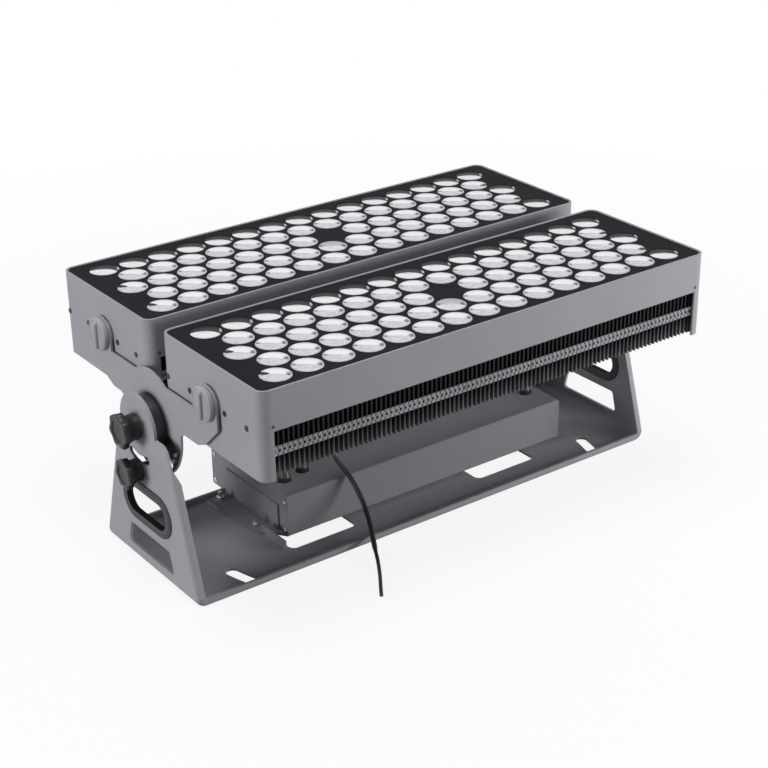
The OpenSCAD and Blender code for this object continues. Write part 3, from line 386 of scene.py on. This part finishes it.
def smooth_route(points, steps):
    """Points along the smooth line through the given ones, by a cubic rule."""
    line = []
    for i in range(len(points) - 1):
        before = points[max(i - 1, 0)]
        after = points[min(i + 2, len(points) - 1)]
        a, b = points[i], points[i + 1]
        for k in range(steps):
            t = k / steps
            line.append(0.5 * (
                2 * a + (b - before) * t + (2 * before - 5 * a + 4 * b - after) * t ** 2
                + (3 * a - before - 3 * b + after) * t ** 3
            ))
    line.append(points[-1])
    return line


def tube(name, points, radii, slot):
    """Round tube along the points, with its own radius at each."""
    data = bpy.data.curves.new(name, "CURVE")
    data.dimensions = "3D"
    data.bevel_depth = 1
    data.bevel_resolution = TUBE_RESOLUTION
    data.use_fill_caps = True
    spline = data.splines.new("POLY")
    spline.points.add(len(points) - 1)
    for point, place, radius in zip(spline.points, points, radii):
        point.co = (*place, 1)
        point.radius = radius
    data.materials.append(MATERIALS[slot])
    piece = bpy.data.objects.new(name, data)
    bpy.context.scene.collection.objects.link(piece)
    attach(piece, "yoke_base")
    return piece


def taper(share):
    """Share of the cable's thickness along it: full at the jacket, less where the jacket ends."""
    if share < JACKET_END:
        return 1
    return max(BARE_SHARE, 1 - (share - JACKET_END) / JACKET_SLOPE)


def make_cable():
    """The cable, its thin bare end lowered on to the floor, and the grooved sleeve at its gland."""
    places = [Vector(p) * MM for p in CABLE_ROUTE]
    line = smooth_route(places, STEPS_BETWEEN)
    radii = [CABLE_D / 2 * taper(k / (len(line) - 1)) for k in range(len(line))]
    laid = [place - Vector((0, 0, CABLE_D / 2 - r)) for place, r in zip(line, radii)]
    cable = tube("supply_cable_round", laid, radii, "cable_jacket")
    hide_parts("supply_cable")
    radii = []
    for k in range(SLEEVE_STEPS + 1):
        groove = SLEEVE_GROOVE if k % 2 else 0
        radii.append((SLEEVE_R - SLEEVE_TAPER * k / SLEEVE_STEPS - groove) * MM)
    tube("strain_relief", line[:SLEEVE_STEPS + 1], radii, "black_plastic")


make_cable()


# Pieces that are built here


class Shape:
    """Gathers the points and faces of one piece, in metres, from skins over rings of points."""

    def __init__(self):
        self.points = []
        self.faces = []
        self.finishes = []
        self.values = {}

    def rings(self, rows, turn, finish=0, close_low=True, close_high=True, values=None):
        """Joins rings, each a list of (x, y, z) in millimetres, into a skin that turn places.

        Each entry of values is the name of an attribute and the rule that gives it at a point.
        """
        count = len(rows[0])
        first = len(self.points)
        for row in rows:
            for point in row:
                self.points.append(turn @ (Vector(point) * MM))
                for name, rule in (values or {}).items():
                    self.values.setdefault(name, []).append(rule(point))
        for r in range(len(rows) - 1):
            for i in range(count):
                j = (i + 1) % count
                low, high = first + r * count, first + (r + 1) * count
                self.add((low + i, low + j, high + j, high + i), finish)
        if close_low:
            self.add(tuple(first + i for i in reversed(range(count))), finish)
        if close_high:
            last = first + (len(rows) - 1) * count
            self.add(tuple(last + i for i in range(count)), finish)

    def add(self, face, finish):
        """One face by the numbers of its points, with the number of its finish."""
        self.faces.append(face)
        self.finishes.append(finish)

    def piece(self, name, body, slots, smooth=40):
        """The finished piece on its body; edges sharper than smooth degrees stay sharp."""
        mesh = bpy.data.meshes.new(name)
        mesh.from_pydata(self.points, [], self.faces)
        for slot in slots:
            mesh.materials.append(MATERIALS[slot])
        mesh.polygons.foreach_set("material_index", self.finishes)
        for key, rows in self.values.items():
            data = mesh.attributes.new(key, "FLOAT_VECTOR", "POINT")
            data.data.foreach_set("vector", [value for row in rows for value in row])
        mesh.validate()
        mesh.shade_smooth()
        mesh.set_sharp_from_angle(angle=math.radians(smooth))
        piece = bpy.data.objects.new(name, mesh)
        bpy.context.scene.collection.objects.link(piece)
        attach(piece, body)
        return piece


def circle_row(radius, z, count):
    """Ring of points; radius is a number or a rule of the angle."""
    row = []
    for i in range(count):
        angle = 2 * math.pi * i / count
        r = radius(angle) if callable(radius) else radius
        row.append((r * math.cos(angle), r * math.sin(angle), z))
    return row


def hexagon(flats):
    """Radius rule of a hexagon with that distance across its flats."""
    return lambda angle: flats / 2 / math.cos((angle + math.pi / 6) % (math.pi / 3) - math.pi / 6)


def place_at(x, y, z, direction="up"):
    """Matrix that stands a shape at a point in millimetres, its axis up or out along one of the axes."""
    turns = {
        "up": Matrix.Identity(4),
        "right": Matrix.Rotation(math.pi / 2, 4, "Y"),
        "left": Matrix.Rotation(-math.pi / 2, 4, "Y"),
        "front": Matrix.Rotation(math.pi / 2, 4, "X"),
        "rear": Matrix.Rotation(-math.pi / 2, 4, "X"),
    }
    return Matrix.Translation(Vector((x, y, z)) * MM) @ turns[direction]


SCREW_SEGMENTS = 24


def socket_head(shape, turn, diameter, height):
    """Round screw head with a rounded edge and, in the second finish, a hexagon socket in it."""
    r = diameter / 2
    socket = hexagon(0.46 * diameter)
    rows = [(r, 0), (r, 0.55 * height), (0.93 * r, 0.85 * height), (0.80 * r, height)]
    outside = [circle_row(a, z, SCREW_SEGMENTS) for a, z in rows]
    mouth = circle_row(socket, height, SCREW_SEGMENTS)
    bottom = circle_row(socket, 0.25 * height, SCREW_SEGMENTS)
    shape.rings(outside, turn, close_high=False)
    shape.rings([outside[-1], mouth], turn, close_low=False, close_high=False)
    shape.rings([mouth, bottom], turn, finish=1, close_low=False)


# Lenses

LENS_R = 39.5 / 2
LENS_PITCH = 43.75
ROW_PITCH = 38.1
LONG_ROW = 15
SHORT_ROW = 14
LENS_FOOT_R = 8.5
LENS_BOWL_R = LENS_R - 1.5
LENS_BOWL_TOP = 18.3
LENS_FLANGE_R = LENS_R + 1.05
LENS_FLANGE = (18.6, 20.6)
LENS_DEPTH = 23.5
LENS_SEGMENTS = 40
DOT_SEGMENTS = 10
HEAD_Y = 128
HEAD_Z = 283
BOARD_TOP = HEAD_Z + 27.5
BLANK = (0, 0)  # the place in the middle of a head that has no lens
# share of painted shade where a lens's far neighbour is the blank place
BLANK_SHARE = 0.45
HEADS = (("front", -HEAD_Y), ("rear", HEAD_Y))
SIDES = (("left", -1), ("right", 1))
FACES = (("front", -1), ("rear", 1))


def lens_places():
    """Centres of one head's lenses, in five staggered rows."""
    places = []
    for row in range(-2, 3):
        count = LONG_ROW if row % 2 == 0 else SHORT_ROW
        for i in range(count):
            place = (round((i - (count - 1) / 2) * LENS_PITCH, 3), round(row * ROW_PITCH, 3))
            if place != BLANK:
                places.append(place)
    return places


def neighbour(place, places, dx, dy):
    """1 with no lens at that step, 0 with one, and a share where the step leads to the blank place."""
    x, y = place[0] + dx, place[1] + dy
    if math.hypot(x - BLANK[0], y - BLANK[1]) < 1:
        return BLANK_SHARE
    return 0.0 if any(math.hypot(x - a, y - b) < 1 for a, b in places) else 1.0


def lens_rows():
    """Rings of one lens from its foot up: bowl, lip, face edge, shallow dish and low middle."""
    steps = 5
    flange_low, flange_high = LENS_FLANGE
    face_r = LENS_R - 0.15
    rows = [(LENS_FOOT_R, 0.3)]
    for k in range(1, steps + 1):
        grown = math.sin(math.pi / 2 * k / steps)
        rows.append((LENS_FOOT_R + (LENS_BOWL_R - LENS_FOOT_R) * grown, LENS_BOWL_TOP * k / steps))
    rows += [
        (LENS_FLANGE_R, flange_low), (LENS_FLANGE_R, flange_high), (face_r, flange_high),
        (face_r, LENS_DEPTH - 0.7), (LENS_R - 0.6, LENS_DEPTH - 0.25), (LENS_R - 1.1, LENS_DEPTH - 0.2),
        (LENS_R - 1.5, LENS_DEPTH - 0.45), (0.72 * LENS_R, LENS_DEPTH - 0.75),
        (0.45 * LENS_R, LENS_DEPTH - 0.9), (0.30 * LENS_R, LENS_DEPTH - 0.95),
        (0.10 * LENS_R, LENS_DEPTH - 0.85),
    ]
    return [circle_row(r, z, LENS_SEGMENTS) for r, z in rows]


def make_lenses():
    """One set of lenses a head. Their painted highlights and shade, and the dark dot on each, are turned
    to face the photograph's camera.
    """
    places = lens_places()
    rows = lens_rows()
    dot = ((1.5, -0.4), (1.5, 0.25), (1.0, 0.45))
    dot_rows = [circle_row(r, z, DOT_SEGMENTS) for r, z in dot]
    to_dot = Matrix.Translation(Vector((0.80 * LENS_R, 0.02 * LENS_R, LENS_DEPTH - 0.75)) * MM)
    # turns each lens so that its painted highlights and shade face the camera
    camera_facing_turn = Matrix.Rotation(CAMERA_TURN, 4, "Z")
    for side, head_y in HEADS:
        shape = Shape()
        for place in places:
            # shares of painted shade: the far part, and the right and left edges
            far = neighbour(place, places, LENS_PITCH / 2, ROW_PITCH)
            open_right = neighbour(place, places, LENS_PITCH, 0) == 1
            open_left = neighbour(place, places, -LENS_PITCH / 2, ROW_PITCH) == 1
            right = 1.0 if open_right and far == 0 else 0.0
            left = 1.0 if open_left and far == 0 else 0.0
            turn = place_at(place[0], head_y + place[1], BOARD_TOP) @ camera_facing_turn
            values = {
                "lens_place": lambda p, far=far: (p[0] / LENS_R, p[1] / LENS_R, far),
                "lens_edge_shade": lambda p, right=right, left=left: (right, left, 0),
            }
            shape.rings(rows, turn, values=values)
            if far < 1:
                shape.rings(dot_rows, turn @ to_dot, finish=1, values=values)
        lenses = shape.piece(f"lens_set_{side}", f"head_{side}", ["clear_lens", "black_plastic"], 50)
        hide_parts(f"lenses_{side}")


make_lenses()

# Knobs of the tilt clamp, as wide as the photograph shows them

KNOB_LOBES = 7
KNOB_Y = 8
KNOB_START = 379.5
RIM_T = 10
KNOB_SEGMENTS = 84
# name, diameter, length, height over the floor and the bolt's diameter
KNOBS = (("tilt_knob", 48, 26, 206, 12), ("lock_knob", 42, 24, 146, 10))


def lobes(radius):
    """Radius rule of a rounded seven-lobed rim whose lobes reach the given radius."""
    return lambda angle: radius * (0.93 + 0.07 * math.cos(KNOB_LOBES * angle))


def make_knobs():
    """Star knobs with a round hub, a soft-edged lobed rim and a dished cap."""
    for name, diameter, length, z, bolt in KNOBS:
        r = diameter / 2 - 0.4
        hub = 0.36 * diameter
        low = length - RIM_T
        rows = [
            (bolt / 2 + 0.4, 0.2), (hub - 0.8, 0.2), (hub, 1.0), (hub - 0.6, 0.4 * low), (hub, low - 2),
            (hub + 1.2, low - 0.4), (lobes(0.90 * r), low), (lobes(0.98 * r), low + 0.9),
            (lobes(r), low + 2.6), (lobes(r), length - 3.0), (lobes(0.97 * r), length - 1.0),
            (lobes(0.90 * r), length - 0.3), (0.66 * r, length - 0.3), (0.62 * r, length - 0.6),
            (0.60 * r, length - 1.6), (0.30 * r, length - 1.9), (0.1 * r, length - 1.9),
        ]
        for side, way in SIDES:
            shape = Shape()
            turn = place_at(way * KNOB_START, KNOB_Y, z, side)
            shape.rings([circle_row(a, b, KNOB_SEGMENTS) for a, b in rows], turn)
            knob = shape.piece(f"{name}_grip_{side}", f"{name}_{side}_body", ["knob_black"], 35)
            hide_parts(f"{name}_{side}")


make_knobs()

# Knobs on the head pivots

PIVOT_KNOB_START = 356.3
PIVOT_KNOB_R = 44 / 2
PIVOT_KNOB_T = 7
PIVOT_KNOB_SEGMENTS = 64
GRIP_LEN = 38
GRIP_W = 10
GRIP_H = 4
GRIP_SEGMENTS = 48


def grip_row(inset, z):
    """Ring of an upright bar with round ends, drawn in by inset."""
    r = GRIP_W / 2 - inset
    half = (GRIP_LEN - GRIP_W) / 2
    row = []
    for i in range(GRIP_SEGMENTS):
        angle = 2 * math.pi * (i + 0.5) / GRIP_SEGMENTS
        along = math.copysign(half, math.cos(angle)) + r * math.cos(angle)
        row.append((along, r * math.sin(angle), z))
    return row


def make_pivot_knobs():
    """Grey round knobs, each with a soft edge, a ring groove and an upright grip bar."""
    r, t = PIVOT_KNOB_R, PIVOT_KNOB_T
    top = t + GRIP_H
    rows = [
        (6.4, 0.1), (r - 0.4, 0.1), (r, 0.5), (r, t - 2.2), (r - 0.5, t - 0.9), (r - 1.8, t - 0.1),
        (r - 3.2, t), (r - 3.6, t - 0.5), (r - 4.4, t - 0.5), (r - 4.8, t), (6, t),
    ]
    bar = [
        grip_row(-0.8, t - 0.2), grip_row(-0.2, t + 0.2), grip_row(0, t + 0.9),
        grip_row(0.1, top - 1.6), grip_row(0.6, top - 0.6), grip_row(1.5, top - 0.1),
    ]
    for side, head_y in HEADS:
        for hand, way in SIDES:
            shape = Shape()
            turn = place_at(way * PIVOT_KNOB_START, head_y, HEAD_Z, hand)
            shape.rings([circle_row(a, b, PIVOT_KNOB_SEGMENTS) for a, b in rows], turn)
            shape.rings(bar, turn)
            node = f"pivot_knob_{side}_{hand}"
            knob = shape.piece(f"pivot_grip_{side}_{hand}", f"{node}_body", ["grey_paint"], 40)
            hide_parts(node)


make_pivot_knobs()

# Beaded rails of the locking strips

FIN_PITCH = 6.89
FIN_COUNT = 97
HEAD_SIDE = 221 / 2
STRIP_FACE = HEAD_SIDE - 6 + 1.2
STRIP_Z = HEAD_Z - 28.5
RAIL_Z = 4.3
BEAD_HALF_LEN = 2.9
BEAD_HALF_HIGH = 1.75
BEAD_T = 1.3


def bead(shape, turn, half_len, half_high, height):
    """Low pillow with a rounded rim."""
    rows = []
    for inset, z in ((0, -0.2), (0, 0.35 * height), (0.35, 0.75 * height), (1.0, height)):
        a, b = half_len - inset, half_high - inset
        c = 0.45 * b
        rows.append([
            (a, -b + c, z), (a, b - c, z), (a - c, b, z), (-a + c, b, z),
            (-a, b - c, z), (-a, -b + c, z), (-a + c, -b, z), (a - c, -b, z),
        ])
    shape.rings(rows, turn, close_low=False)


def make_rails():
    """Beads pressed out of the strips above and below the slots, one pair a fin."""
    for side, head_y in HEADS:
        shape = Shape()
        for direction, way in FACES:
            for i in range(FIN_COUNT):
                x = (i - (FIN_COUNT - 1) / 2) * FIN_PITCH
                for rail in (-RAIL_Z, RAIL_Z):
                    turn = place_at(x, head_y + way * STRIP_FACE, STRIP_Z + rail, direction)
                    bead(shape, turn, BEAD_HALF_LEN, BEAD_HALF_HIGH, BEAD_T)
        shape.piece(f"strip_beads_{side}", f"head_{side}", ["strip_metal"], 50)


make_rails()

# Rubber trims of the hand openings

LEG_IN = 373.5
LEG_OUT = 377.5
TRIM_Y = -3
TRIM_Z = 96
TRIM_STRAIGHT = 30.5
TRIM_IN_R = 17.5
TRIM_OUT_R = 29.5
TRIM_PROUD = 3
SHEET_HOLE_R = 23.4
TRIM_SEGMENTS = 72
TRIM_WALL_BANDS = 2  # the first bands of faces line the opening and take the darker rubber, as painted shade


def trim_row(radius, x):
    """Ring along the opening: two half circles and the straight runs between them."""
    row = []
    for i in range(TRIM_SEGMENTS):
        angle = 2 * math.pi * (i + 0.5) / TRIM_SEGMENTS
        along = math.copysign(TRIM_STRAIGHT, math.cos(angle)) + radius * math.cos(angle)
        row.append((along, radius * math.sin(angle), x))
    return row


def make_trims():
    """Rubber lips with round edges on both faces of a leg, a groove between them holding the sheet; the
    wall of the opening is given darker rubber as painted shade.
    """
    out, back = LEG_OUT + TRIM_PROUD, LEG_IN - TRIM_PROUD
    lip = TRIM_OUT_R - 0.1
    profile = [
        (TRIM_IN_R + 0.05, back + 1.2), (TRIM_IN_R + 0.05, out - 1.3), (TRIM_IN_R + 0.6, out - 0.4),
        (TRIM_IN_R + 1.9, out - 0.05), (TRIM_OUT_R - 4.6, out - 0.05), (TRIM_OUT_R - 4.2, out - 0.45),
        (TRIM_OUT_R - 3.4, out - 0.45), (TRIM_OUT_R - 3.0, out - 0.1), (TRIM_OUT_R - 1.1, out - 0.5),
        (lip, out - 1.6), (lip, LEG_OUT + 0.02), (SHEET_HOLE_R, LEG_OUT + 0.02),
        (SHEET_HOLE_R, LEG_IN - 0.02), (lip, LEG_IN - 0.02), (lip, back + 1.4),
        (TRIM_OUT_R - 1.2, back + 0.3), (TRIM_OUT_R - 2.6, back + 0.05), (TRIM_IN_R + 1.7, back + 0.05),
        (TRIM_IN_R + 0.05, back + 1.2),
    ]
    rows = [trim_row(r, x) for r, x in profile]
    wall = TRIM_WALL_BANDS * TRIM_SEGMENTS
    for side, way in SIDES:
        shape = Shape()
        # columns of the frame: along the opening, up, and outwards
        turn = Matrix.Translation(Vector((0, TRIM_Y, TRIM_Z)) * MM) @ Matrix((
            (0, 0, way, 0), (way, 0, 0, 0), (0, 1, 0, 0), (0, 0, 0, 1),
        ))
        shape.rings(rows, turn, close_low=False, close_high=False)
        # painted shade: the faces lining the opening take the darker rubber
        shape.finishes[:wall] = [1] * wall
        trim = shape.piece(f"hand_trim_{side}", "yoke_base", ["black_rubber", "dark_rubber"], 35)
        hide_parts(f"handle_trim_{side}")


make_trims()

# Small screws

SCREW_T = 1.0
SCREW_PROUD = 0.3  # the rest of the head sits in the sheet
WINDOW_SCREW_X = 334
WINDOW_SCREW_Z = HEAD_Z + 6.3
WINDOW_SCREW_D = 4.0
BOX_ENDS = ((-194, "left"), (278, "right"))
BOX_SCREWS = ((-32.5, 51.7), (-32.5, 11.5), (141.5, 51.7), (141.5, 11.5))
BOX_SCREW_D = 6.5
BOX_SCREW_T = 2.0


def make_small_screws():
    """Screws over the ends of the fin windows, and those in the ends of the driver box."""
    for side, head_y in HEADS:
        shape = Shape()
        for x in (-WINDOW_SCREW_X, WINDOW_SCREW_X):
            for direction, way in FACES:
                y = head_y + way * (HEAD_SIDE - SCREW_T + SCREW_PROUD)
                turn = place_at(x, y, WINDOW_SCREW_Z, direction)
                socket_head(shape, turn, WINDOW_SCREW_D, SCREW_T)
        shape.piece(f"window_screws_{side}", f"head_{side}", ["mask_black", "mask_black"])
    shape = Shape()
    for x, direction in BOX_ENDS:
        for y, z in BOX_SCREWS:
            socket_head(shape, place_at(x, y, z, direction), BOX_SCREW_D, BOX_SCREW_T)
    # painted shade: the sockets in the bright steel heads take black
    shape.piece("box_screws", "yoke_base", ["bright_steel", "mask_black"])


make_small_screws()


# Stage and light

FLOOR_HALF = 30
FLOOR_DROP = 0.2 * MM
FLOOR_LIT = (0.30, 0.30, 0.31)  # what the floor throws back on the object
FLOOR_SEEN = (0.86, 0.86, 0.87)
SHADOW_NEAR = (0.5, 0.88)  # distance from the middle, and the share of plain white there
SHADOW_FAR = (1.6, 1)
AROUND = 0.10
AIM = Vector((0, 0, 0.2))
# place, width and height in metres, and power in watts
LAMPS = {
    "key": ((-3.0, 0.3, 0.62), (1.4, 1.1), 48),
    "top": ((-0.3, -0.2, 3.2), (1.6, 1.6), 64),
    "front": ((1.5, -1.35, 0.42), (1.3, 0.6), 30),
}


def plain_view(tree):
    """1 for the rays that show the background: the camera's own, and those by way of gloss or glass."""
    rays = tree.nodes.new("ShaderNodeLightPath")
    view = rays.outputs["Is Camera Ray"]
    for ray in ("Is Glossy Ray", "Is Transmission Ray"):
        view = maths(tree, "MAXIMUM", view, rays.outputs[ray])
    return view


def make_floor():
    """Pale floor: it shows nearly white, with the object's soft shadow kept."""
    mesh = bpy.data.meshes.new("floor")
    corners = [(FLOOR_HALF * x, FLOOR_HALF * y, 0) for x, y in ((-1, -1), (1, -1), (1, 1), (-1, 1))]
    mesh.from_pydata(corners, [], [(0, 1, 2, 3)])
    floor = bpy.data.objects.new("floor", mesh)
    floor.location.z = -FLOOR_DROP
    bpy.context.scene.collection.objects.link(floor)
    material, tree, shader = new_material("floor")
    shader.inputs["Roughness"].default_value = 0.9
    shader.inputs["Specular IOR Level"].default_value = 0
    white = tree.nodes.new("ShaderNodeEmission")
    view = plain_view(tree)
    tone = blend_colours(tree, view, FLOOR_LIT, FLOOR_SEEN)
    tree.links.new(tone, shader.inputs["Base Color"])
    place = tree.nodes.new("ShaderNodeTexCoord")
    away = tree.nodes.new("ShaderNodeVectorMath")
    away.operation = "LENGTH"
    tree.links.new(place.outputs["Object"], away.inputs[0])
    (near, near_share), (far, far_share) = SHADOW_NEAR, SHADOW_FAR
    plain = spread(tree, away.outputs["Value"], near, far, near_share, far_share)
    share = times(tree, view, plain)
    mix = tree.nodes.new("ShaderNodeMixShader")
    tree.links.new(share, mix.inputs["Fac"])
    tree.links.new(shader.outputs["BSDF"], mix.inputs[1])
    tree.links.new(white.outputs["Emission"], mix.inputs[2])
    output = next(n for n in tree.nodes if n.type == "OUTPUT_MATERIAL")
    tree.links.new(mix.outputs["Shader"], output.inputs["Surface"])
    mesh.materials.append(material)


def make_world(strength):
    """Even light from all round; the camera, gloss and glass see plain white."""
    world = bpy.data.worlds.new("studio")
    bpy.context.scene.world = world
    world.use_nodes = True
    tree = world.node_tree
    background = tree.nodes["Background"]
    background.inputs["Color"].default_value = (1, 1, 1, 1)
    tree.links.new(spread(tree, plain_view(tree), 0, 1, strength, 1), background.inputs["Strength"])


def make_lamp(name, place, size, power):
    """Soft rectangle of light aimed at the object's middle; the camera doesn't see the lamp itself."""
    data = bpy.data.lights.new(name, "AREA")
    data.shape = "RECTANGLE"
    data.size, data.size_y = size
    data.energy = power
    lamp = bpy.data.objects.new(name, data)
    lamp.location = place
    lamp.rotation_euler = (AIM - Vector(place)).to_track_quat("-Z", "Y").to_euler()
    lamp.visible_camera = False
    bpy.context.scene.collection.objects.link(lamp)


make_floor()
make_world(AROUND)
for lamp_name, lamp in LAMPS.items():
    make_lamp(lamp_name, *lamp)

bpy.context.scene.view_settings.view_transform = "Standard"
